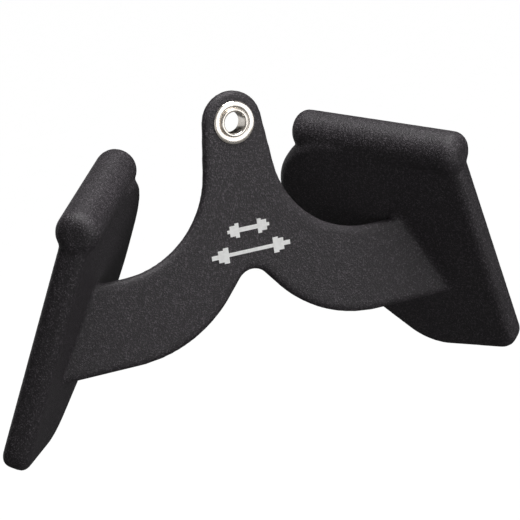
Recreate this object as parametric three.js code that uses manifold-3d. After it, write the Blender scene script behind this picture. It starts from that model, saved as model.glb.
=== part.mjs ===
// T-bar row handle: a rubber-coated steel plate hangs from an eyelet, and its arms end in
// leaning palm paddles, each with a finger roll along its upper edge.
// The origin is the eyelet's centre. X runs along the arms, Y to the back and Z up. Millimetres.
import * as THREE from 'three';
import { mergeVertices } from 'three/addons/utils/BufferGeometryUtils.js';
import Module from 'manifold-3d';

const wasm = await Module();
wasm.setup();

// ---- Driving dimensions: the coated body ----
const PLATE_THICKNESS = 9;
const PLATE_EDGE = 4; // rounding of the centre plate's rubber edges
const LUG_RADIUS = 22;
const NECK_FLARE = 7.4; // degrees that each side of the neck leans out
const VALLEY_Z = -92.4; // upper edge of the arms
const VALLEY_RADIUS = 68;
const ARM_BOTTOM_Z = -155.4;
const LOBE_RADIUS = 95; // lower curve of each arm
const NOTCH_TOP_Z = -105.7;
const NOTCH_RADIUS = 12.8;
const NOTCH_SLOPE = 50.2; // degrees that each flank of the notch falls
const ARM_END_TOP_X = 126.5;
const ARM_END_BOTTOM_X = 161;
const FLARE_RADIUS = 11; // blend of each arm into its paddle

const PALM_ORIGIN = new THREE.Vector3(105, -13.7, -35.8); // right paddle, mid-thickness
const PALM_TOE = 36.9; // degrees that the paddles close in towards the back
const PALM_PITCH = 6.4; // degrees that their back ends rise
const PALM_LEAN = 24.5; // degrees that they spread towards the bottom
const PALM_THICKNESS = 21;
const PALM_EDGE = 8;
const PALM_CORNERS = [ // rearward, up, corner radius
  [-60.3, 4, 10],
  [-77.6, -178, 13],
  [-8, -178, 42],
  [86.5, -94.6, 75],
  [86.5, 4, 38],
];

const ROLL_RADIUS = 15;
const ROLL_END_EDGE = 9;
const ROLL_FRONT = 63.5; // reach of the roll in front of and behind the paddle's origin
const ROLL_BACK = 72.5;
const ROLL_OUTWARD = 5.1; // roll axis outside the paddle's middle plane
const ROLL_SPLAY = 4.6; // degrees between roll and paddle
const ROLL_BLEND = 5;
const FINGER_BLEND_BACK = -12; // rear end of the blend on the finger side

// ---- Driving dimensions: steel inside the rubber ----
const GAP = 0.3; // clearance between neighbouring pieces
const CORE_THICKNESS = 5;
const CORE_INSET = 4; // rubber beyond the steel's edge
const CORE_CHAMFER = 0.5;
const ARM_TAB_REACH = 6; // extra steel that reaches the paddle's plate
const PALM_CORE_THICKNESS = 6;
const PALM_CORE_INSET = 7;
const TUBE_RADIUS = 11;
const TUBE_WALL = 2;
const TUBE_END_COVER = 6; // rubber over each plug
const PLUG_HEAD = 2.5;
const PLUG_SPIGOT = 7;
const WELD_RADIUS = 3;
const WELD_SIDES = 10;
const ROLL_WELD_END = 22; // the bead stops this far from each end of the roll

// ---- Driving dimensions: eyelet and print ----
const EYELET_BORE_RADIUS = 7.6;
const EYELET_BARREL_RADIUS = 8.8;
const EYELET_LIP_RADIUS = 10.2;
const EYELET_LIP_HEIGHT = 1.1;
const EYELET_SIDES = 36;
const WASHER_RADIUS = 15;
const WASHER_THICKNESS = 1.2;
const WASHER_EDGE = 0.7;
const REST_GAP = 0.1; // clearance under a piece that rests on the rubber
const PRINT_THICKNESS = 0.3;
const DUMBBELL_Z = -75.3;
const BARBELL_Z = -91.4;
// Each step of a print's half outline: from x, to x, half height.
const DUMBBELL_STEPS = [[0, 7, 1.6], [7, 10, 5.2], [10, 14, 3.8], [14, 16, 1.2]];
const BARBELL_STEPS = [[0, 17, 1.3], [17, 21, 5.6], [21, 25, 4.2], [25, 30, 1.6]];

const ARC_TOLERANCE = 0.12; // how far a chord may leave its arc
const EDGE_STEPS = 3; // facets round an edge

// ---- Materials ----
const rubber = new THREE.MeshStandardMaterial({ color: 0x2b2a2d, roughness: 0.82, metalness: 0 });
const steel = new THREE.MeshStandardMaterial({ color: 0x7d8084, roughness: 0.5, metalness: 0.9 });
const weldMetal = new THREE.MeshStandardMaterial({ color: 0x5f5c58, roughness: 0.6, metalness: 0.8 });
const chrome = new THREE.MeshStandardMaterial({ color: 0xe6e4e0, roughness: 0.12, metalness: 1 });
const ink = new THREE.MeshStandardMaterial({ color: 0xf4f4f2, roughness: 0.6, metalness: 0 });

const rad = THREE.MathUtils.degToRad;
const X_AXIS = new THREE.Vector3(1, 0, 0);
const Y_AXIS = new THREE.Vector3(0, 1, 0);
const Z_AXIS = new THREE.Vector3(0, 0, 1);

// ---- Joining and cutting ----
// A revolve leaves triangles of no width at its poles, and merging shows which they are.
function withoutSlivers(index) {
  const kept = [];
  for (let i = 0; i < index.length; i += 3) {
    const [a, b, c] = index.slice(i, i + 3);
    if (a !== b && b !== c && c !== a) kept.push(a, b, c);
  }
  return Uint32Array.from(kept);
}

function solid(geometry) {
  const bare = geometry.clone();
  bare.deleteAttribute('normal');
  bare.deleteAttribute('uv');
  const merged = mergeVertices(bare, 1e-4);
  const vertProperties = merged.attributes.position.array;
  const triVerts = withoutSlivers(merged.index.array);
  return new wasm.Manifold(new wasm.Mesh({ numProp: 3, vertProperties, triVerts }));
}

function geometryOf(body) {
  const { vertProperties, triVerts } = body.getMesh();
  const geometry = new THREE.BufferGeometry();
  geometry.setAttribute('position', new THREE.BufferAttribute(vertProperties, 3));
  geometry.setIndex(new THREE.BufferAttribute(triVerts, 1));
  geometry.computeVertexNormals();
  return geometry;
}

function joined(geometries) {
  return geometries.map(solid).reduce((whole, piece) => whole.add(piece));
}

// ---- Form helpers ----
function arcPoints(centre, radius, from, sweep) {
  const step = 2 * Math.acos(1 - ARC_TOLERANCE / radius);
  const count = Math.max(2, Math.ceil(Math.abs(sweep) / step));
  return Array.from({ length: count + 1 }, (_, i) => {
    const angle = from + (sweep * i) / count;
    return new THREE.Vector2(centre.x + radius * Math.cos(angle), centre.y + radius * Math.sin(angle));
  });
}

// A closed outline whose corners, each [x, y, radius], are rounded by tangent arcs.
function roundedOutline(corners) {
  const at = (i) => new THREE.Vector2(...corners.at(i % corners.length));
  const points = corners.flatMap(([, , radius], i) => {
    const corner = at(i);
    if (radius === 0) return [corner];
    const toLast = at(i - 1).sub(corner).normalize();
    const toNext = at(i + 1).sub(corner).normalize();
    const half = Math.acos(toLast.dot(toNext)) / 2;
    const inward = toLast.clone().add(toNext).normalize();
    const centre = corner.clone().addScaledVector(inward, radius / Math.sin(half));
    const start = corner.clone().addScaledVector(toLast, radius / Math.tan(half)).sub(centre);
    const sweep = (Math.PI - 2 * half) * Math.sign(toNext.cross(toLast));
    return arcPoints(centre, radius, start.angle(), sweep);
  });
  const apart = (p, i) => p.distanceTo(points.at(i - 1)) > 0.01;
  return new THREE.Shape(points.filter(apart));
}

// A plate of the outline's size, centred on its own middle plane, with rounded or chamfered edges.
function slab(outline, thickness, edge, inset = 0, steps = EDGE_STEPS) {
  const depth = thickness - 2 * edge;
  const geometry = new THREE.ExtrudeGeometry(outline, {
    depth,
    bevelEnabled: true,
    bevelThickness: edge,
    bevelSize: edge,
    bevelOffset: -edge - inset,
    bevelSegments: steps,
  });
  return geometry.translate(0, 0, -depth / 2);
}

// Skins a row of equally long rings and closes both ends.
function loft(rings) {
  const size = rings[0].length;
  const triangles = [];
  for (let r = 0; r + 1 < rings.length; r += 1) {
    for (let i = 0; i < size; i += 1) {
      const a = r * size + i;
      const b = r * size + ((i + 1) % size);
      triangles.push(a, b, b + size, a, b + size, a + size);
    }
  }
  const last = (rings.length - 1) * size;
  for (let i = 1; i + 1 < size; i += 1) {
    triangles.push(0, i + 1, i, last, last + i, last + i + 1);
  }
  const geometry = new THREE.BufferGeometry().setFromPoints(rings.flat());
  geometry.setIndex(triangles);
  return geometry;
}

function bar(from, to, radius, sides) {
  const along = to.clone().sub(from);
  const turn = new THREE.Quaternion().setFromUnitVectors(Y_AXIS, along.clone().normalize());
  return new THREE.CylinderGeometry(radius, radius, along.length(), sides)
    .applyQuaternion(turn)
    .translate(...from.clone().add(to).multiplyScalar(0.5));
}

// ---- Frames of the two paddles: local X outwards on the right, Y rearwards, Z up ----
function palmFrame(side) {
  const turn = new THREE.Euler(rad(PALM_PITCH), rad(-side * PALM_LEAN), rad(side * PALM_TOE), 'ZXY');
  return new THREE.Matrix4()
    .makeRotationFromEuler(turn)
    .setPosition(side * PALM_ORIGIN.x, PALM_ORIGIN.y, PALM_ORIGIN.z);
}

function rollInPalm(side) {
  return new THREE.Matrix4()
    .makeRotationZ(rad(-side * ROLL_SPLAY))
    .setPosition(side * ROLL_OUTWARD, 0, 0);
}

function place(object, matrix) {
  matrix.decompose(object.position, object.quaternion, object.scale);
  return object;
}

// ---- Centre plate ----
function plateOutline(endReach = 0) {
  const neckX = (z) => LUG_RADIUS / Math.cos(rad(NECK_FLARE)) - z * Math.tan(rad(NECK_FLARE));
  const slope = Math.tan(rad(NOTCH_SLOPE));
  const notchRise = NOTCH_RADIUS * (1 / Math.cos(rad(NOTCH_SLOPE)) - 1);
  const notchZ = NOTCH_TOP_Z + notchRise;
  const lobeX = (notchZ - ARM_BOTTOM_Z) / slope;
  const rightHalf = [
    [lobeX, ARM_BOTTOM_Z, LOBE_RADIUS],
    [ARM_END_BOTTOM_X + endReach, ARM_BOTTOM_Z, 0],
    [ARM_END_TOP_X + endReach, VALLEY_Z, 0],
    [neckX(VALLEY_Z), VALLEY_Z, VALLEY_RADIUS],
    [neckX(LUG_RADIUS), LUG_RADIUS, LUG_RADIUS],
  ];
  const leftHalf = rightHalf.map(([x, z, radius]) => [-x, z, radius]).reverse();
  return roundedOutline([[0, notchZ, NOTCH_RADIUS], ...rightHalf, ...leftHalf]);
}

function centrePlate(grow = 0) {
  const outline = plateOutline(ARM_TAB_REACH);
  return slab(outline, CORE_THICKNESS + 2 * grow, CORE_CHAMFER, CORE_INSET - grow, 1).rotateX(Math.PI / 2);
}

// The concave foot where an arm spreads into its paddle: rings parallel to the paddle's inner face.
function armFlare(side) {
  const outward = new THREE.Vector3().setFromMatrixColumn(palmFrame(1), 0);
  const steps = 5;
  const ring = (away, spread) => {
    const halfY = PLATE_THICKNESS / 2 + spread;
    const top = VALLEY_Z + spread;
    const bottom = ARM_BOTTOM_Z - spread;
    const outline = roundedOutline([
      [-halfY, bottom, PLATE_EDGE],
      [halfY, bottom, PLATE_EDGE],
      [halfY, top, PLATE_EDGE],
      [-halfY, top, PLATE_EDGE],
    ]);
    const points = outline.getPoints().map(({ x: y, y: z }) => {
      const inPlane = outward.y * (y - PALM_ORIGIN.y) + outward.z * (z - PALM_ORIGIN.z);
      const x = PALM_ORIGIN.x - (PALM_THICKNESS / 2 + away + inPlane) / outward.x;
      return new THREE.Vector3(side * x, y, z);
    });
    return side > 0 ? points : points.reverse();
  };
  const rings = [ring(-4, FLARE_RADIUS)];
  for (let i = 0; i <= steps; i += 1) {
    const turn = (Math.PI / 2) * (i / steps);
    const away = FLARE_RADIUS * (1 - Math.cos(turn));
    rings.push(ring(away, FLARE_RADIUS * (1 - Math.sin(turn)) - 0.1));
  }
  return loft(rings.reverse());
}

// ---- Paddles and rolls, in the paddle's frame ----
const UP_AS_Z = new THREE.Matrix4().makeBasis(Y_AXIS, Z_AXIS, X_AXIS);

function palm(thickness, edge, inset, steps) {
  return slab(roundedOutline(PALM_CORNERS), thickness, edge, inset, steps).applyMatrix4(UP_AS_Z);
}

function palmCore(grow = 0) {
  return palm(PALM_CORE_THICKNESS + 2 * grow, CORE_CHAMFER, PALM_CORE_INSET - grow, 1);
}

function roll() {
  const flat = ROLL_RADIUS - ROLL_END_EDGE;
  const quarter = Math.PI / 2;
  const frontCentre = new THREE.Vector2(flat, ROLL_END_EDGE - ROLL_FRONT);
  const backCentre = new THREE.Vector2(flat, ROLL_BACK - ROLL_END_EDGE);
  return new THREE.LatheGeometry([
    new THREE.Vector2(0, -ROLL_FRONT),
    ...arcPoints(frontCentre, ROLL_END_EDGE, -quarter, quarter),
    ...arcPoints(backCentre, ROLL_END_EDGE, 0, quarter),
    new THREE.Vector2(0, ROLL_BACK),
  ], 30);
}

const rollAxisX = (rear) => ROLL_OUTWARD + rear * Math.tan(rad(ROLL_SPLAY));

// Concave blend under the roll's overhang, lofted from front to back. It runs the whole roll on the
// palm side, and on the finger side only up to where the paddle's face meets the roll's flank.
function rollBlend(side, facing, back) {
  const section = (rear) => {
    const axisX = facing * rollAxisX(rear);
    const face = PALM_THICKNESS / 2;
    const reach = ROLL_RADIUS + ROLL_BLEND;
    const centre = new THREE.Vector2(face + ROLL_BLEND, 0);
    centre.y = -Math.sqrt(reach ** 2 - (centre.x - axisX) ** 2);
    const toRoll = Math.atan2(-centre.y, axisX - centre.x);
    const count = 4;
    const arc = Array.from({ length: count + 1 }, (_, i) => {
      const angle = Math.PI + ((toRoll - Math.PI) * i) / count;
      return new THREE.Vector2(ROLL_BLEND, 0).rotateAround(new THREE.Vector2(), angle).add(centre);
    });
    const root = new THREE.Vector2(face - 4, centre.y + 4);
    const ring = [root, ...arc].map((p) => new THREE.Vector3(side * facing * p.x, rear, p.y));
    return side * facing > 0 ? ring.reverse() : ring;
  };
  return loft([section(ROLL_END_EDGE - ROLL_FRONT), section(back)]);
}

const TUBE_FRONT = ROLL_FRONT - TUBE_END_COVER;
const TUBE_BACK = ROLL_BACK - TUBE_END_COVER;

function tubeEnvelope(grow = 0) {
  const length = TUBE_FRONT + TUBE_BACK + 2 * grow;
  return new THREE.CylinderGeometry(TUBE_RADIUS + grow, TUBE_RADIUS + grow, length, 24)
    .translate(0, (TUBE_BACK - TUBE_FRONT) / 2, 0);
}

function rollTube() {
  const front = PLUG_HEAD + GAP - TUBE_FRONT;
  const back = TUBE_BACK - PLUG_HEAD - GAP;
  const bore = TUBE_RADIUS - TUBE_WALL;
  const profile = [[bore, front], [TUBE_RADIUS, front], [TUBE_RADIUS, back], [bore, back], [bore, front]];
  return new THREE.LatheGeometry(profile.map((p) => new THREE.Vector2(...p)), 24);
}

// A turned plug whose spigot sits in the tube's end and whose head closes it.
function tubePlug() {
  const spigot = TUBE_RADIUS - TUBE_WALL - GAP;
  const nose = 1;
  const profile = [
    [0, -PLUG_SPIGOT], [spigot - nose, -PLUG_SPIGOT], [spigot, nose - PLUG_SPIGOT], [spigot, 0],
    [TUBE_RADIUS, 0], [TUBE_RADIUS, PLUG_HEAD - nose], [TUBE_RADIUS - nose, PLUG_HEAD], [0, PLUG_HEAD],
  ];
  return new THREE.LatheGeometry(profile.map((p) => new THREE.Vector2(...p)), 24);
}

function palmPlate(side) {
  const tube = solid(tubeEnvelope(GAP).applyMatrix4(rollInPalm(side)));
  return geometryOf(solid(palmCore()).subtract(tube));
}

// ---- Weld beads: round bars laid in a corner and cut by the steel on both sides ----
function armWeld(side, facing) {
  const outward = new THREE.Vector3().setFromMatrixColumn(palmFrame(1), 0);
  const margin = CORE_INSET + 4;
  const cornerAt = (z) => {
    const y = facing * (CORE_THICKNESS / 2);
    const inPlane = outward.y * (y - PALM_ORIGIN.y) + outward.z * (z - PALM_ORIGIN.z);
    const x = PALM_ORIGIN.x - (PALM_CORE_THICKNESS / 2 + inPlane) / outward.x;
    return new THREE.Vector3(side * x, y, z);
  };
  return bar(cornerAt(ARM_BOTTOM_Z + margin), cornerAt(VALLEY_Z - margin), WELD_RADIUS, WELD_SIDES);
}

function rollWeld(side, facing) {
  const cornerAt = (rear) => {
    const face = facing * (PALM_CORE_THICKNESS / 2);
    const across = Math.max(1 - TUBE_RADIUS, face - rollAxisX(rear));
    return new THREE.Vector3(side * face, rear, -Math.sqrt(TUBE_RADIUS ** 2 - across ** 2));
  };
  const front = cornerAt(ROLL_WELD_END - ROLL_FRONT);
  const back = cornerAt(ROLL_BACK - ROLL_WELD_END);
  return bar(front, back, WELD_RADIUS, WELD_SIDES);
}

function cutBy(geometry, cutters) {
  return geometryOf(solid(geometry).subtract(joined(cutters)));
}

// ---- Eyelet: two washers on the rubber, held by a barrel that is rolled over both ----
const FACE_Y = PLATE_THICKNESS / 2;

function eyeletBarrel() {
  const seat = FACE_Y + REST_GAP + WASHER_THICKNESS + REST_GAP;
  const crown = seat + EYELET_LIP_HEIGHT;
  const middle = (EYELET_LIP_RADIUS + EYELET_BORE_RADIUS) / 2;
  const halfLip = (EYELET_LIP_RADIUS - EYELET_BORE_RADIUS) / 2;
  const lip = Array.from({ length: 7 }, (_, i) => {
    const angle = (Math.PI * i) / 6;
    const height = seat + (crown - seat) * Math.sin(angle);
    return new THREE.Vector2(middle + halfLip * Math.cos(angle), height);
  });
  const mirroredLip = lip.map((p) => new THREE.Vector2(p.x, -p.y)).reverse();
  const foot = [-seat, seat].map((y) => new THREE.Vector2(EYELET_BARREL_RADIUS, y));
  return new THREE.LatheGeometry([...mirroredLip, ...foot, ...lip, mirroredLip[0]], EYELET_SIDES);
}

// A flat ring with a rounded outer rim; its flat back lies towards the rubber.
function eyeletWasher() {
  const hole = EYELET_BARREL_RADIUS + GAP;
  const shoulder = new THREE.Vector2(WASHER_RADIUS - WASHER_EDGE, WASHER_THICKNESS - WASHER_EDGE);
  const rim = arcPoints(shoulder, WASHER_EDGE, 0, Math.PI / 2);
  const inner = new THREE.Vector2(hole, 0);
  const outer = new THREE.Vector2(WASHER_RADIUS, 0);
  const innerTop = new THREE.Vector2(hole, WASHER_THICKNESS);
  return new THREE.LatheGeometry([inner, outer, ...rim, innerTop, inner], EYELET_SIDES);
}

// ---- Rubber coat: the whole outer form, hollowed for the steel and open at the eyelet ----
function coatOuter() {
  const pieces = [slab(plateOutline(), PLATE_THICKNESS, PLATE_EDGE).rotateX(Math.PI / 2)];
  for (const side of [1, -1]) {
    const frame = palmFrame(side);
    const rollFrame = frame.clone().multiply(rollInPalm(side));
    pieces.push(
      palm(PALM_THICKNESS, PALM_EDGE, 0, EDGE_STEPS + 1).applyMatrix4(frame),
      roll().applyMatrix4(rollFrame),
      rollBlend(side, 1, ROLL_BACK - ROLL_END_EDGE).applyMatrix4(frame),
      rollBlend(side, -1, FINGER_BLEND_BACK).applyMatrix4(frame),
      armFlare(side),
    );
  }
  return joined(pieces);
}

function coatCavity() {
  const pieces = [centrePlate(GAP)];
  for (const side of [1, -1]) {
    const frame = palmFrame(side);
    pieces.push(palmCore(GAP).applyMatrix4(frame));
    pieces.push(tubeEnvelope(GAP).applyMatrix4(frame.clone().multiply(rollInPalm(side))));
    for (const facing of [1, -1]) {
      pieces.push(grownWeld(armWeld(side, facing)), grownWeld(rollWeld(side, facing)).applyMatrix4(frame));
    }
  }
  return joined(pieces);
}

// The room that a bead needs in the rubber: the same bar, thicker all round.
function grownWeld(weld) {
  const { position } = weld.attributes;
  const box = new THREE.Box3().setFromBufferAttribute(position);
  const centre = box.getCenter(new THREE.Vector3());
  const factor = 1 + GAP / WELD_RADIUS;
  return weld
    .clone()
    .translate(...centre.clone().negate())
    .scale(factor, factor, factor)
    .translate(...centre);
}

function eyeletHole(radius, length) {
  return new THREE.CylinderGeometry(radius, radius, length, EYELET_SIDES);
}

function rubberCoat() {
  const hole = solid(eyeletHole(EYELET_BARREL_RADIUS + GAP, 4 * PLATE_THICKNESS));
  return geometryOf(coatOuter().subtract(coatCavity()).subtract(hole));
}

// ---- Printed marks: a short dumbbell over a long barbell, each one flat film ----
function weightOutline(halfSteps) {
  const right = halfSteps.flatMap(([from, to, half]) => [[from, -half], [to, -half]]);
  const upper = right.map(([x, z]) => [x, -z]).reverse();
  const mirrored = (points) => points.map(([x, z]) => [-x, z]).reverse();
  const loop = [...right, ...upper, ...mirrored(upper), ...mirrored(right)];
  return new THREE.Shape(loop.map((p) => new THREE.Vector2(...p)));
}

function printFilm(halfSteps, z) {
  const film = { depth: PRINT_THICKNESS, bevelEnabled: false };
  return new THREE.ExtrudeGeometry(weightOutline(halfSteps), film)
    .rotateX(Math.PI / 2)
    .translate(0, -FACE_Y - REST_GAP, z);
}

// ---- Assembly ----
const handle = new THREE.Group();

function add(parent, name, geometry, material) {
  const mesh = new THREE.Mesh(geometry, material);
  mesh.name = name;
  parent.add(mesh);
  return mesh;
}

add(handle, 'rubber_coat', rubberCoat(), rubber);

const cutCentre = [eyeletHole(EYELET_BARREL_RADIUS + GAP, 4 * CORE_THICKNESS)];
for (const side of [1, -1]) cutCentre.push(palmCore(GAP).applyMatrix4(palmFrame(side)));
add(handle, 'centre_plate', cutBy(centrePlate(), cutCentre), steel);

for (const [hand, side] of [['right', 1], ['left', -1]]) {
  const frame = palmFrame(side);
  const palmGroup = place(new THREE.Group(), frame);
  const rollGroup = place(new THREE.Group(), rollInPalm(side));
  handle.add(palmGroup);
  palmGroup.add(rollGroup);

  add(palmGroup, `${hand}_palm_plate`, palmPlate(side), steel);
  add(rollGroup, `${hand}_roll_tube`, rollTube(), steel);
  add(rollGroup, `${hand}_tube_plug_back`, tubePlug(), steel).position.y = TUBE_BACK - PLUG_HEAD;
  const frontPlug = add(rollGroup, `${hand}_tube_plug_front`, tubePlug(), steel);
  frontPlug.rotation.z = Math.PI;
  frontPlug.position.y = PLUG_HEAD - TUBE_FRONT;

  const steelHere = [centrePlate(GAP), palmCore(GAP).applyMatrix4(frame)];
  add(handle, `${hand}_arm_weld_front`, cutBy(armWeld(side, -1), steelHere), weldMetal);
  add(handle, `${hand}_arm_weld_back`, cutBy(armWeld(side, 1), steelHere), weldMetal);
  const steelAtRoll = [palmCore(GAP), tubeEnvelope(GAP).applyMatrix4(rollInPalm(side))];
  add(palmGroup, `${hand}_roll_weld_palm_side`, cutBy(rollWeld(side, 1), steelAtRoll), weldMetal);
  add(palmGroup, `${hand}_roll_weld_finger_side`, cutBy(rollWeld(side, -1), steelAtRoll), weldMetal);
}

const eyelet = new THREE.Group();
eyelet.rotation.x = Math.PI;
handle.add(eyelet);
add(eyelet, 'eyelet_barrel', eyeletBarrel(), chrome);
for (const [name, turn] of [['eyelet_washer_front', 0], ['eyelet_washer_back', Math.PI]]) {
  const washer = add(eyelet, name, eyeletWasher(), chrome);
  washer.rotation.x = turn;
  washer.position.y = Math.cos(turn) * (FACE_Y + REST_GAP);
}

add(handle, 'print_dumbbell', printFilm(DUMBBELL_STEPS, DUMBBELL_Z), ink);
add(handle, 'print_barbell', printFilm(BARBELL_STEPS, BARBELL_Z), ink);

export default handle;
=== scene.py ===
import math

import bmesh
import bpy
from mathutils import Matrix, Vector


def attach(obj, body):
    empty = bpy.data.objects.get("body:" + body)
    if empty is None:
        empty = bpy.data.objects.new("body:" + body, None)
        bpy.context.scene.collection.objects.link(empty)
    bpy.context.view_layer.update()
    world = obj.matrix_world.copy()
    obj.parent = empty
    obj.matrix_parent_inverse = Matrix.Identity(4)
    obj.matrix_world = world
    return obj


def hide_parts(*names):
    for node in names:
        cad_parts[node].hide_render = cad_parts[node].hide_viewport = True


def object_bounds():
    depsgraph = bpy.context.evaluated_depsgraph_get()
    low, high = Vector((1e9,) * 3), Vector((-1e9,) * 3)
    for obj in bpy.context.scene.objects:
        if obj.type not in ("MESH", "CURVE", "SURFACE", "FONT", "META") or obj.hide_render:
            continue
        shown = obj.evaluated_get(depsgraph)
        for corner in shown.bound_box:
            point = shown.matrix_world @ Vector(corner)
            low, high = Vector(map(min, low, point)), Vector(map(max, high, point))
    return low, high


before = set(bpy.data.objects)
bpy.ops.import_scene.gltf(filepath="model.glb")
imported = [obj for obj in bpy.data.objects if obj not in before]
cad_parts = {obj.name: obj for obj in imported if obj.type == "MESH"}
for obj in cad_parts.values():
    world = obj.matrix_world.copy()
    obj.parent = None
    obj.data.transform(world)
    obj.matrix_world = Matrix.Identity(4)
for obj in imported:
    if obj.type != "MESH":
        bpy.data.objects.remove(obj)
cad_low, cad_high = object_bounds()

# ---- Rubber coat ---------------------------------------------------------------------------
# One charcoal rubber skin, moulded and bonded round the welded steel core: the hanging plate with
# its lug and arms, the palm paddles, and the finger rolls along their tops. Sizes up to the
# eyelet's are in millimetres, and each mesh goes to metres as it is finished.
PLATE_THICKNESS = 9.0
PLATE_EDGE = 4.0
LUG_RADIUS = 22.0
NECK_FLARE = math.radians(7.4)
VALLEY_HEIGHT = -92.4
VALLEY_RADIUS = 68.0
ARM_BOTTOM = -155.4
LOBE_RADIUS = 95.0
NOTCH_TOP = -105.7
NOTCH_RADIUS = 12.8
NOTCH_SLOPE = math.radians(50.2)
ARM_END_TOP = 126.5
ARM_END_BOTTOM = 161.0
EYELET_HOLE_RADIUS = 9.1
EYELET_HOLE_SIDES = 48

PALM_PLACE = Vector((105.0, -13.7, -35.8))
PALM_TOE = math.radians(36.9)
PALM_PITCH = math.radians(6.4)
PALM_LEAN = math.radians(24.5)
PALM_THICKNESS = 19.5
PALM_OUTWARD = 0.75
PALM_EDGE = 6.5
PALM_OUTLINE = (  # rearward, up, corner radius
    (-60.3, 4.0, 10.0),
    (90.5, 3.0, 50.0),
    (90.5, -96.0, 75.0),
    (-3.0, -183.5, 42.0),
    (-76.8, -176.4, 13.0),
)

ROLL_RADIUS = 15.0
ROLL_END_EDGE = 9.0
ROLL_FRONT = 63.5
ROLL_BACK = 72.5
ROLL_OUTWARD = 5.1
ROLL_SPLAY = math.radians(4.6)
ROLL_SIDES = 72
ROLL_END_STEPS = 8

FLARE_RADIUS = 2.0
FLARE_ROOT = 4.0
FLARE_RINGS = 5
ROLL_FILLET = 5.0
ROLL_FILLET_STEPS = 6
FINGER_FILLET_END = -12.0

ARC_STEP = 2.0
EDGE_RINGS = 5
SKIN_GRAIN_SIZE = 1.65
SKIN_SMOOTHING = 4
SKIN_SMOOTHING_PULL = 0.5
TO_METRES = Matrix.Scale(0.001, 4)


def round_outline(bm, corners):
    """Draws a closed outline in XY with rounded corners, each (x, y, radius).

    Returns its edges and vertices.
    """
    places = [Vector((x, y, 0.0)) for x, y, _ in corners]
    arcs = []
    for i, (_, _, radius) in enumerate(corners):
        corner = places[i]
        to_last = (places[i - 1] - corner).normalized()
        to_next = (places[(i + 1) % len(places)] - corner).normalized()
        if radius == 0:
            arcs.append([bm.verts.new(corner)])
            continue
        half = to_last.angle(to_next) / 2
        turn = math.pi - 2 * half
        centre = corner + (to_last + to_next).normalized() * radius / math.sin(half)
        first = bm.verts.new(corner + to_last * radius / math.tan(half))
        steps = max(4, math.ceil(radius * turn / ARC_STEP))
        arc = [first]
        for _ in range(steps):
            spun = bmesh.ops.spin(bm, geom=[arc[-1]], cent=centre, axis=to_next.cross(to_last),
                                  angle=turn / steps, steps=1)
            arc.append(next(v for v in spun["geom_last"] if isinstance(v, bmesh.types.BMVert)))
        arcs.append(arc)
    for last, following in zip(arcs, arcs[1:] + arcs[:1]):
        bm.edges.new((last[-1], following[0]))
    verts = [v for arc in arcs for v in arc]
    edges = list({e for v in verts for e in v.link_edges})
    return edges, verts


def rounded_slab(corners, thickness, edge):
    """A plate of the outline in XY, about its middle plane, with both rims rounded to edge."""
    bm = bmesh.new()
    edges, _ = round_outline(bm, corners)
    back = bmesh.ops.contextual_create(bm, geom=edges)["faces"][0]
    grown = bmesh.ops.extrude_face_region(bm, geom=[back])["geom"]
    front = next(g for g in grown if isinstance(g, bmesh.types.BMFace))
    for face, way in ((front, 1), (back, -1)):
        bmesh.ops.translate(bm, vec=(0, 0, way * (thickness / 2 - edge)), verts=face.verts)
        for ring in range(EDGE_RINGS):
            start = math.pi / 2 * ring / EDGE_RINGS
            end = math.pi / 2 * (ring + 1) / EDGE_RINGS
            inward = edge * (math.cos(start) - math.cos(end))
            upward = edge * (math.sin(end) - math.sin(start))
            bmesh.ops.inset_region(bm, faces=[face], thickness=inward, use_even_offset=True)
            bmesh.ops.translate(bm, vec=(0, 0, way * upward), verts=face.verts)
    return bm


def closed_piece(bm, place=Matrix.Identity(4)):
    """Puts a shaped shell in its place, with its faces outwards, and returns its mesh."""
    bmesh.ops.transform(bm, matrix=place, verts=bm.verts)
    bmesh.ops.recalc_face_normals(bm, faces=bm.faces)
    mesh = bpy.data.meshes.new("shell")
    bm.to_mesh(mesh)
    bm.free()
    return mesh


def hanging_plate():
    """The flat plate: lug and neck above, an arm with its lobe each side, and the notch between."""
    neck_line = LUG_RADIUS / math.cos(NECK_FLARE)
    neck_at_valley, neck_at_lug = (neck_line - height * math.tan(NECK_FLARE)
                                   for height in (VALLEY_HEIGHT, LUG_RADIUS))
    notch_rise = NOTCH_RADIUS * (1 / math.cos(NOTCH_SLOPE) - 1)
    notch_corner = NOTCH_TOP + notch_rise
    lobe = (notch_corner - ARM_BOTTOM) / math.tan(NOTCH_SLOPE)
    right_half = [
        (lobe, ARM_BOTTOM, LOBE_RADIUS),
        (ARM_END_BOTTOM, ARM_BOTTOM, 0),
        (ARM_END_TOP, VALLEY_HEIGHT, 0),
        (neck_at_valley, VALLEY_HEIGHT, VALLEY_RADIUS),
        (neck_at_lug, LUG_RADIUS, LUG_RADIUS),
    ]
    left_half = [(-x, z, radius) for x, z, radius in reversed(right_half)]
    outline = [(0, notch_corner, NOTCH_RADIUS), *right_half, *left_half]
    bm = rounded_slab(outline, PLATE_THICKNESS, PLATE_EDGE)
    return closed_piece(bm, Matrix.Rotation(math.pi / 2, 4, "X"))


def palm_frame(side):
    """The paddle's own frame: X outwards on the right, Y rearwards, Z up along the lean."""
    place = Vector((side * PALM_PLACE.x, PALM_PLACE.y, PALM_PLACE.z))
    toe = Matrix.Rotation(side * PALM_TOE, 4, "Z")
    pitch = Matrix.Rotation(PALM_PITCH, 4, "X")
    lean = Matrix.Rotation(-side * PALM_LEAN, 4, "Y")
    return Matrix.Translation(place) @ toe @ pitch @ lean


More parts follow.
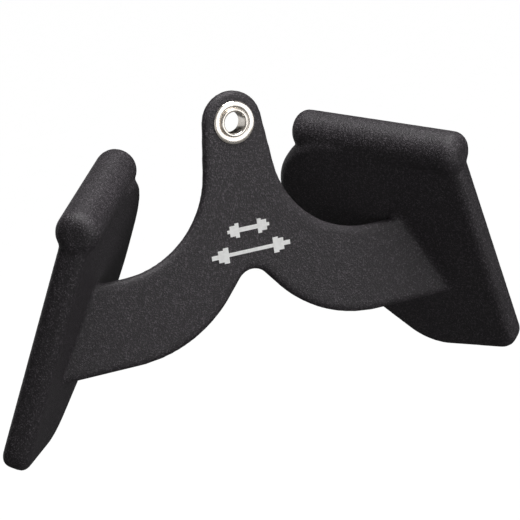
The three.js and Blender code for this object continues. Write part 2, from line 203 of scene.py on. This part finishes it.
def palm_paddle(side):
    """The broad plate that the palm rests on, its middle a little outside the paddle frame's."""
    upright = Matrix(((0, 0, 1, 0), (1, 0, 0, 0), (0, 1, 0, 0), (0, 0, 0, 1)))
    bm = rounded_slab(PALM_OUTLINE, PALM_THICKNESS, PALM_EDGE)
    outward = Matrix.Translation((side * PALM_OUTWARD, 0, 0))
    return closed_piece(bm, palm_frame(side) @ outward @ upright)


def finger_roll(side):
    """A round bar along the paddle's top, a little outside it and splayed, with softened ends."""
    bm = bmesh.new()
    length = ROLL_FRONT + ROLL_BACK
    bmesh.ops.create_cone(bm, cap_ends=True, segments=ROLL_SIDES, radius1=ROLL_RADIUS,
                          radius2=ROLL_RADIUS, depth=length)
    rims = [e for e in bm.edges if abs(e.verts[0].co.z - e.verts[1].co.z) < 0.1]
    bmesh.ops.bevel(bm, geom=rims, offset=ROLL_END_EDGE, segments=ROLL_END_STEPS, profile=0.5,
                    affect="EDGES", material=-1, clamp_overlap=False)
    lie_down = Matrix.Rotation(-math.pi / 2, 4, "X")
    middle = Matrix.Translation((side * ROLL_OUTWARD, 0, 0))
    splay = Matrix.Rotation(-side * ROLL_SPLAY, 4, "Z")
    along = Matrix.Translation((0, (ROLL_BACK - ROLL_FRONT) / 2, 0))
    return closed_piece(bm, palm_frame(side) @ middle @ splay @ along @ lie_down)


def loft(bm, rings):
    """Skins a row of edge loops and closes the first and last."""
    for near, far in zip(rings, rings[1:]):
        bmesh.ops.bridge_loops(bm, edges=near + far)
    for end in (rings[0], rings[-1]):
        bmesh.ops.contextual_create(bm, geom=end)
    return bm


def arm_flare(side):
    """The concave foot where an arm spreads into the paddle's inner face."""
    outward = palm_frame(1).col[0].xyz
    inner_face = PALM_THICKNESS / 2 - PALM_OUTWARD
    bm = bmesh.new()
    rings = []
    steps = [(-FLARE_ROOT, FLARE_RADIUS)]
    for ring in range(FLARE_RINGS + 1):
        turn = math.pi / 2 * ring / FLARE_RINGS
        steps.append((FLARE_RADIUS * (1 - math.cos(turn)), FLARE_RADIUS * (1 - math.sin(turn))))
    for away, spread in steps:
        half = PLATE_THICKNESS / 2 + spread
        low, high = ARM_BOTTOM - spread, VALLEY_HEIGHT + spread
        edges, verts = round_outline(bm, [(-half, low, PLATE_EDGE), (half, low, PLATE_EDGE),
                                          (half, high, PLATE_EDGE), (-half, high, PLATE_EDGE)])
        offset = inner_face + away - outward.y * PALM_PLACE.y - outward.z * PALM_PLACE.z
        lean_to_paddle = Matrix((
            (-side * outward.y / outward.x, -side * outward.z / outward.x, 0,
             side * (PALM_PLACE.x - offset / outward.x)),
            (1, 0, 0, 0),
            (0, 1, 0, 0),
            (0, 0, 0, 1),
        ))
        bmesh.ops.transform(bm, matrix=lean_to_paddle, verts=verts)
        rings.append(edges)
    return closed_piece(loft(bm, rings))


def roll_fillet(side, facing, back_end):
    """The hollow blend in the corner between the paddle's face and the roll's overhang."""
    bm = bmesh.new()
    face = PALM_THICKNESS / 2 + facing * PALM_OUTWARD
    reach = ROLL_RADIUS + ROLL_FILLET
    rings = []
    for rear in (ROLL_END_EDGE - ROLL_FRONT, back_end):
        roll_axis = facing * (ROLL_OUTWARD + rear * math.tan(ROLL_SPLAY))
        across = face + ROLL_FILLET
        down = -math.sqrt(reach ** 2 - (across - roll_axis) ** 2)
        sweep = math.atan2(-down, roll_axis - across) - math.pi
        root = bm.verts.new((face - FLARE_ROOT, rear, down + FLARE_ROOT))
        arc = [bm.verts.new((face, rear, down))]
        for _ in range(ROLL_FILLET_STEPS):
            spun = bmesh.ops.spin(bm, geom=[arc[-1]], cent=(across, rear, down), axis=(0, -1, 0),
                                  angle=sweep / ROLL_FILLET_STEPS, steps=1)
            arc.append(next(v for v in spun["geom_last"] if isinstance(v, bmesh.types.BMVert)))
        bm.edges.new((root, arc[0]))
        bm.edges.new((arc[-1], root))
        rings.append(list({e for v in (root, *arc) for e in v.link_edges}))
    loft(bm, rings)
    flip = Matrix.Scale(side * facing, 4, (1, 0, 0))
    return closed_piece(bm, palm_frame(side) @ flip)


def cut(mesh, cutter_bm):
    """Takes a closed cutter out of a mesh and returns what is left."""
    target = bpy.data.objects.new("target", mesh)
    cutter = bpy.data.objects.new("cutter", closed_piece(cutter_bm))
    for thing in (target, cutter):
        bpy.context.scene.collection.objects.link(thing)
    difference = target.modifiers.new("cut", "BOOLEAN")
    difference.operation = "DIFFERENCE"
    difference.solver = "EXACT"
    difference.object = cutter
    depsgraph = bpy.context.evaluated_depsgraph_get()
    result = bpy.data.meshes.new_from_object(target.evaluated_get(depsgraph))
    for thing in (target, cutter):
        bpy.data.objects.remove(thing)
    return result


def moulded(name, shells):
    """Fuses overlapping shells into one skin, melts its inside corners and returns the object."""
    bm = bmesh.new()
    for shell in shells:
        bm.from_mesh(shell)
    bmesh.ops.transform(bm, matrix=TO_METRES, verts=bm.verts)
    mesh = bpy.data.meshes.new(name)
    bm.to_mesh(mesh)
    bm.free()
    skin = bpy.data.objects.new(name, mesh)
    bpy.context.scene.collection.objects.link(skin)
    fuse = skin.modifiers.new("fuse", "REMESH")
    fuse.mode = "VOXEL"
    fuse.voxel_size = SKIN_GRAIN_SIZE / 1000
    melt = skin.modifiers.new("melt", "SMOOTH")
    melt.factor = SKIN_SMOOTHING_PULL
    melt.iterations = SKIN_SMOOTHING
    depsgraph = bpy.context.evaluated_depsgraph_get()
    skin.data = bpy.data.meshes.new_from_object(skin.evaluated_get(depsgraph))
    skin.modifiers.clear()
    skin.data.polygons.foreach_set("use_smooth", [True] * len(skin.data.polygons))
    return skin


eyelet_hole = bmesh.new()
bmesh.ops.create_cone(eyelet_hole, cap_ends=True, segments=EYELET_HOLE_SIDES,
                      radius1=EYELET_HOLE_RADIUS, radius2=EYELET_HOLE_RADIUS,
                      depth=4 * PLATE_THICKNESS,
                      matrix=Matrix.Rotation(math.pi / 2, 4, "X"))
coat_shells = [cut(hanging_plate(), eyelet_hole)]
for side in (1, -1):
    coat_shells += [
        palm_paddle(side),
        finger_roll(side),
        arm_flare(side),
        roll_fillet(side, 1, ROLL_BACK - ROLL_END_EDGE),
        roll_fillet(side, -1, FINGER_FILLET_END),
    ]
coat = moulded("rubber_skin", coat_shells)


def new_material(name):
    """An empty node material with its shader and an object-coordinate source."""
    material = bpy.data.materials.new(name)
    material.use_nodes = True
    tree = material.node_tree
    shader = tree.nodes["Principled BSDF"]
    place = tree.nodes.new("ShaderNodeTexCoord").outputs["Object"]
    return material, tree, shader, place


def noise(tree, place, scale, detail, roughness):
    grain = tree.nodes.new("ShaderNodeTexNoise")
    grain.inputs["Scale"].default_value = scale
    grain.inputs["Detail"].default_value = detail
    grain.inputs["Roughness"].default_value = roughness
    tree.links.new(place, grain.inputs["Vector"])
    return grain.outputs["Fac"]


def ramp(tree, value, stops):
    """Maps a value through colour stops, each (position, (r, g, b))."""
    node = tree.nodes.new("ShaderNodeValToRGB")
    elements = node.color_ramp.elements
    while len(elements) < len(stops):
        elements.new(0.5)
    for element, (position, colour) in zip(elements, stops):
        element.position = position
        element.color = (*colour, 1)
    tree.links.new(value, node.inputs["Fac"])
    return node.outputs["Color"]


def spread(tree, value, low, high, to_low, to_high):
    """Maps a value's range onto another."""
    node = tree.nodes.new("ShaderNodeMapRange")
    for socket, number in (("From Min", low), ("From Max", high),
                           ("To Min", to_low), ("To Max", to_high)):
        node.inputs[socket].default_value = number
    tree.links.new(value, node.inputs["Value"])
    return node.outputs["Result"]


def math_node(tree, operation, first, second):
    node = tree.nodes.new("ShaderNodeMath")
    node.operation = operation
    for socket, source in zip(node.inputs, (first, second)):
        if isinstance(source, float):
            socket.default_value = source
        else:
            tree.links.new(source, socket)
    return node.outputs[0]


def bump(tree, shader, height, distance, strength):
    node = tree.nodes.new("ShaderNodeBump")
    node.inputs["Strength"].default_value = strength
    node.inputs["Distance"].default_value = distance
    tree.links.new(height, node.inputs["Height"])
    tree.links.new(node.outputs["Normal"], shader.inputs["Normal"])


def mixed(tree, factor, first, second):
    node = tree.nodes.new("ShaderNodeMix")
    node.data_type = "RGBA"
    tree.links.new(factor, node.inputs["Factor"])
    tree.links.new(first, node.inputs["A"])
    tree.links.new(second, node.inputs["B"])
    return node.outputs["Result"]


def finish_in(piece, material):
    """Gives a piece this material alone."""
    piece.data.materials.clear()
    piece.data.materials.append(material)


# The skin's finish: a fine pebble from the mould and a faint mottle. The pebble's light and shade
# are
#  painted into the colour: pale specks on its peaks as painted sparkle, darker pits as painted
#      shade.
BASE_DARK = (0.0186, 0.0158, 0.0185)
BASE_LIGHT = (0.0235, 0.0202, 0.0234)
# The pit, slope and speck colours paint the pebble's shade and sparkle into the skin.
PIT_SHADE_COLOUR = (0.016, 0.0138, 0.0159)
SLOPE_COLOUR = (0.0295, 0.0254, 0.0293)
SPECK_SPARKLE_COLOUR = (0.1, 0.088, 0.099)
PEAKS_FROM = 0.18
PEAKS_TO = 0.4
GRAIN_DEPTH = 0.0006
PEBBLE_SCALE = 740.0
FINE_GRAIN_SCALE = 1500.0
MOTTLE_SCALE = 34.0
rubber, tree, shader, place = new_material("black_pebbled_rubber")
pebble = noise(tree, place, PEBBLE_SCALE, 2.0, 0.5)
fine_grain = noise(tree, place, FINE_GRAIN_SCALE, 1.0, 0.4)
mottle = noise(tree, place, MOTTLE_SCALE, 3.0, 0.55)
base = ramp(tree, mottle, ((0.3, BASE_DARK), (0.7, BASE_LIGHT)))
grains = math_node(tree, "MULTIPLY", pebble, fine_grain)
peaks = spread(tree, grains, PEAKS_FROM, PEAKS_TO, 0.0, 1.0)
# Colour that follows the pebble: darker in its pits as painted shade, pale on its peaks as painted
# sparkle.
speck_sparkle_and_pit_shade = ramp(tree, peaks, ((0.0, PIT_SHADE_COLOUR), (0.45, SLOPE_COLOUR), (1.0, SPECK_SPARKLE_COLOUR)))
tree.links.new(mixed(tree, spread(tree, peaks, 0.0, 0.6, 0.25, 1.0), base, speck_sparkle_and_pit_shade),
               shader.inputs["Base Color"])
tree.links.new(spread(tree, pebble, 0.3, 0.7, 0.5, 0.68), shader.inputs["Roughness"])
shader.inputs["Specular IOR Level"].default_value = 0.5
height = math_node(tree, "ADD", pebble, math_node(tree, "MULTIPLY", fine_grain, 0.5))
bump(tree, shader, height, GRAIN_DEPTH, 0.8)
finish_in(coat, rubber)
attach(coat, "root")
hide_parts("rubber_coat")

# ---- Eyelet --------------------------------------------------------------------------------
# A chromed steel barrel through the lug, rolled over at both ends onto a dished washer that
# presses on the rubber. Spun from its section.
BORE_RADIUS = 7.6
BARREL_RADIUS = 8.8
LIP_RADIUS = 10.2
LIP_HEIGHT = 1.1
RUBBER_FACE = PLATE_THICKNESS / 2
WASHER_RADIUS = 15.0
WASHER_THICKNESS = 1.2
WASHER_CLEARANCE = 0.1
LIP_CLEARANCE = 0.1
LIP_STEPS = 16
EYELET_STEPS = 128


def spun_ring(name, section):
    """Turns a closed section, (radius, depth) in millimetres, round the eyelet's axis."""
    bm = bmesh.new()
    verts = [bm.verts.new((radius, depth, 0)) for radius, depth in section]
    for start, end in zip(verts, verts[1:] + verts[:1]):
        bm.edges.new((start, end))
    bmesh.ops.spin(bm, geom=bm.verts[:] + bm.edges[:], cent=(0, 0, 0), axis=(0, 1, 0),
                   angle=2 * math.pi, steps=EYELET_STEPS, use_merge=True)
    bmesh.ops.remove_doubles(bm, verts=bm.verts, dist=1e-4)
    mesh = closed_piece(bm, TO_METRES)
    mesh.name = name
    mesh.polygons.foreach_set("use_smooth", [True] * len(mesh.polygons))
    piece = bpy.data.objects.new(name, mesh)
    bpy.context.scene.collection.objects.link(piece)
    return piece


lip_middle = (BORE_RADIUS + LIP_RADIUS) / 2
lip_half = (LIP_RADIUS - BORE_RADIUS) / 2
lip_seat = RUBBER_FACE + WASHER_CLEARANCE + WASHER_THICKNESS + LIP_CLEARANCE
front_lip = []
for step in range(LIP_STEPS + 1):
    turn = math.pi * step / LIP_STEPS
    front_lip.append((lip_middle + lip_half * math.cos(turn),
                      -lip_seat - LIP_HEIGHT * math.sin(turn)))
back_lip = [(radius, -depth) for radius, depth in reversed(front_lip)]
barrel = spun_ring("eyelet_barrel_rolled", [
    (BARREL_RADIUS, -lip_seat), *front_lip, *back_lip, (BARREL_RADIUS, lip_seat)])
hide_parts("eyelet_barrel")

washer_profile = (  # radius, height over the rubber
    (EYELET_HOLE_RADIUS, 0.0), (14.6, 0.0), (14.9, 0.1), (WASHER_RADIUS, 0.35), (14.9, 0.62),
    (14.6, 0.82), (14.1, 0.98), (13.4, 1.12), (12.6, WASHER_THICKNESS), (11.9, 1.18),
    (11.3, 1.06), (10.8, 0.88), (10.3, 0.76), (EYELET_HOLE_RADIUS, 0.74),
)
washers = []
for name, node, way in (("eyelet_washer_front_dished", "eyelet_washer_front", -1),
                        ("eyelet_washer_back_dished", "eyelet_washer_back", 1)):
    seat = RUBBER_FACE + WASHER_CLEARANCE
    washer = spun_ring(name, [(radius, way * (seat + height)) for radius, height in washer_profile])
    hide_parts(node)
    washers.append(washer)

CHROME_WARM = (0.84, 0.77, 0.69)
CHROME_PALE = (0.93, 0.88, 0.82)
chrome, tree, shader, place = new_material("polished_chrome")
tarnish = noise(tree, place, 180.0, 4.0, 0.6)
tree.links.new(ramp(tree, tarnish, ((0.35, CHROME_WARM), (0.65, CHROME_PALE))),
               shader.inputs["Base Color"])
tree.links.new(spread(tree, tarnish, 0.3, 0.75, 0.16, 0.24), shader.inputs["Roughness"])
shader.inputs["Metallic"].default_value = 0.8
for piece in (barrel, *washers):
    finish_in(piece, chrome)
    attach(piece, "root")

# ---- Printed marks -------------------------------------------------------------------------
# A dumbbell over a barbell, screen printed in white ink on the plate's front. The film is the
# frame's own; the ink is a little uneven and takes the rubber's grain.
ink, tree, shader, place = new_material("white_screen_print")
patch = noise(tree, place, 320.0, 3.0, 0.6)
grain = noise(tree, place, PEBBLE_SCALE, 1.5, 0.45)
tree.links.new(ramp(tree, patch, ((0.25, (0.8, 0.8, 0.79)), (0.6, (0.93, 0.93, 0.92)))),
               shader.inputs["Base Color"])
tree.links.new(spread(tree, grain, 0.3, 0.7, 0.5, 0.7), shader.inputs["Roughness"])
bump(tree, shader, grain, 0.0002, 0.35)
for name in ("print_dumbbell", "print_barbell"):
    finish_in(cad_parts[name], ink)

# ---- Steel core ----------------------------------------------------------------------------
# Laser-cut centre and palm plates, and the roll tubes with their turned plugs. All of it is
# bare mild steel, sealed inside the rubber.
mill_steel, tree, shader, place = new_material("bare_mill_steel")
scale_marks = noise(tree, place, 60.0, 6.0, 0.62)
rolling = tree.nodes.new("ShaderNodeMapping")
rolling.inputs["Scale"].default_value = (60.0, 60.0, 900.0)
tree.links.new(place, rolling.inputs["Vector"])
rolling_lines = noise(tree, rolling.outputs["Vector"], 1.0, 3.0, 0.5)
tree.links.new(ramp(tree, scale_marks, ((0.3, (0.25, 0.25, 0.26)), (0.7, (0.5, 0.51, 0.52)))),
               shader.inputs["Base Color"])
tree.links.new(spread(tree, rolling_lines, 0.3, 0.7, 0.32, 0.55), shader.inputs["Roughness"])
shader.inputs["Metallic"].default_value = 1.0
bump(tree, shader, rolling_lines, 0.0001, 0.3)
core_names = ["centre_plate"]
for hand in ("right", "left"):
    core_names += [f"{hand}_palm_plate", f"{hand}_roll_tube",
                   f"{hand}_tube_plug_front", f"{hand}_tube_plug_back"]
for name in core_names:
    finish_in(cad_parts[name], mill_steel)

# ---- Weld beads ----------------------------------------------------------------------------
# Fillet welds that join each arm to its palm plate and each tube to the plate's top edge. They
# are left as laid, with ripples and heat colour.
weld_metal, tree, shader, place = new_material("rippled_weld")
heat = noise(tree, place, 110.0, 3.0, 0.5)
ripple = tree.nodes.new("ShaderNodeTexWave")
ripple.inputs["Scale"].default_value = 180.0
ripple.inputs["Distortion"].default_value = 2.5
ripple.inputs["Detail"].default_value = 2.0
tree.links.new(place, ripple.inputs["Vector"])
tree.links.new(ramp(tree, heat, ((0.3, (0.2, 0.17, 0.15)), (0.55, (0.36, 0.33, 0.3)),
                                 (0.75, (0.3, 0.33, 0.4)))),
               shader.inputs["Base Color"])
tree.links.new(spread(tree, heat, 0.3, 0.7, 0.38, 0.6), shader.inputs["Roughness"])
shader.inputs["Metallic"].default_value = 1.0
bump(tree, shader, ripple.outputs["Fac"], 0.0006, 0.6)
for hand in ("right", "left"):
    for bead in ("arm_weld_front", "arm_weld_back", "roll_weld_palm_side", "roll_weld_finger_side"):
        finish_in(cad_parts[f"{hand}_{bead}"], weld_metal)

# ---- Floor ---------------------------------------------------------------------------------
# A wide pale studio floor, well under the hanging handle. It looks white, but sends little light
# up, so that the shaded sides of the rubber stay dark.
FLOOR_DROP = 0.30
FLOOR_RADIUS = 30.0
FLOOR_GLOW = 0.06
FLOOR_SEEN = 1.0
floor_bm = bmesh.new()
bmesh.ops.create_circle(floor_bm, cap_ends=True, segments=96, radius=FLOOR_RADIUS,
                        matrix=Matrix.Translation((0, 0, cad_low.z - FLOOR_DROP)))
floor_mesh = bpy.data.meshes.new("studio_floor")
floor_bm.to_mesh(floor_mesh)
floor_bm.free()
floor = bpy.data.objects.new("studio_floor", floor_mesh)
bpy.context.scene.collection.objects.link(floor)
paper, tree, shader, place = new_material("pale_paper")
fibre = noise(tree, place, 40.0, 4.0, 0.5)
seen = tree.nodes.new("ShaderNodeLightPath").outputs["Is Camera Ray"]
shader.inputs["Base Color"].default_value = (0.02, 0.02, 0.02, 1)
shader.inputs["Roughness"].default_value = 0.9
tree.links.new(ramp(tree, fibre, ((0.3, (0.99, 0.99, 0.99)), (0.7, (1.0, 1.0, 1.0)))),
               shader.inputs["Emission Color"])
tree.links.new(spread(tree, seen, 0.0, 1.0, FLOOR_GLOW, FLOOR_SEEN),
               shader.inputs["Emission Strength"])
floor.data.materials.append(paper)

# ---- Lights --------------------------------------------------------------------------------
# A soft box overhead and one in front to the right, with weak ones at the right, left and rear.
# The rear one lights the eyelet's bore. The sky is faint and warm, and white only to the camera.
LIT_CENTRE = Vector((0.0, 0.0, -0.09))


def soft_box(name, place, size, power):
    """A square area light at place, turned to face the handle."""
    data = bpy.data.lights.new(name, "AREA")
    data.size = size
    data.energy = power
    lamp = bpy.data.objects.new(name, data)
    bpy.context.scene.collection.objects.link(lamp)
    lamp.location = place
    lamp.visible_camera = False
    lamp.rotation_mode = "QUATERNION"
    lamp.rotation_quaternion = (LIT_CENTRE - Vector(place)).to_track_quat("-Z", "Y")


soft_box("top_box", (0.151, -0.261, 1.328), 0.9, 27.0)
soft_box("front_box", (0.491, -1.349, 0.112), 1.2, 8.2)
soft_box("right_box", (1.19, -0.83, -0.1), 0.9, 2.6)
soft_box("left_box", (-0.8, -1.2, -0.2), 0.9, 1.8)
soft_box("rear_box", (-0.53, 1.36, -0.35), 1.6, 5.0)

SKY_BRIGHT_WAY = (0.33, -0.3, 0.9)
SKY_DARK = 0.01
SKY_BRIGHT = 0.06
sky = bpy.data.worlds.new("studio")
sky.use_nodes = True
tree = sky.node_tree
direction = tree.nodes.new("ShaderNodeTexCoord").outputs["Generated"]
facing_bright = tree.nodes.new("ShaderNodeVectorMath")
facing_bright.operation = "DOT_PRODUCT"
facing_bright.inputs[1].default_value = SKY_BRIGHT_WAY
tree.links.new(direction, facing_bright.inputs[0])
glow = spread(tree, facing_bright.outputs["Value"], -0.2, 1.0, 0.0, 1.0)
background = tree.nodes["Background"]
seen = tree.nodes.new("ShaderNodeLightPath").outputs["Is Camera Ray"]
haze = ramp(tree, glow, ((0.0, (0.1, 0.075, 0.055)), (0.35, (0.3, 0.26, 0.22)),
                         (0.7, (0.95, 0.95, 0.95))))
white = ramp(tree, seen, ((0.0, (1.0, 1.0, 1.0)), (1.0, (1.0, 1.0, 1.0))))
strength = spread(tree, glow, 0.0, 1.0, SKY_DARK, SKY_BRIGHT)
tree.links.new(mixed(tree, seen, haze, white), background.inputs["Color"])
tree.links.new(math_node(tree, "MAXIMUM", seen, strength), background.inputs["Strength"])
bpy.context.scene.world = sky
bpy.context.scene.view_settings.view_transform = "Standard"

# ---- Camera --------------------------------------------------------------------------------
# A long lens at the left of the handle, a little above it and tipped clockwise. It frames the
# handle closely.
AIM = Vector((-0.0019, -0.0237, -0.0948))
DISTANCE = 1.4149
AZIMUTH = math.radians(-21.335)
ELEVATION = math.radians(13.47)
TIP = math.radians(-7.668)
camera_data = bpy.data.cameras.new("camera")
camera_data.sensor_width = 36.0
camera_data.lens = 141.35
camera = bpy.data.objects.new("camera", camera_data)
bpy.context.scene.collection.objects.link(camera)
turned = (Matrix.Rotation(AZIMUTH, 4, "Z") @ Matrix.Rotation(math.pi / 2 - ELEVATION, 4, "X")
          @ Matrix.Rotation(TIP, 4, "Z"))
away = turned.col[2].xyz
camera.matrix_world = Matrix.Translation(AIM + away * DISTANCE) @ turned
bpy.context.scene.camera = camera
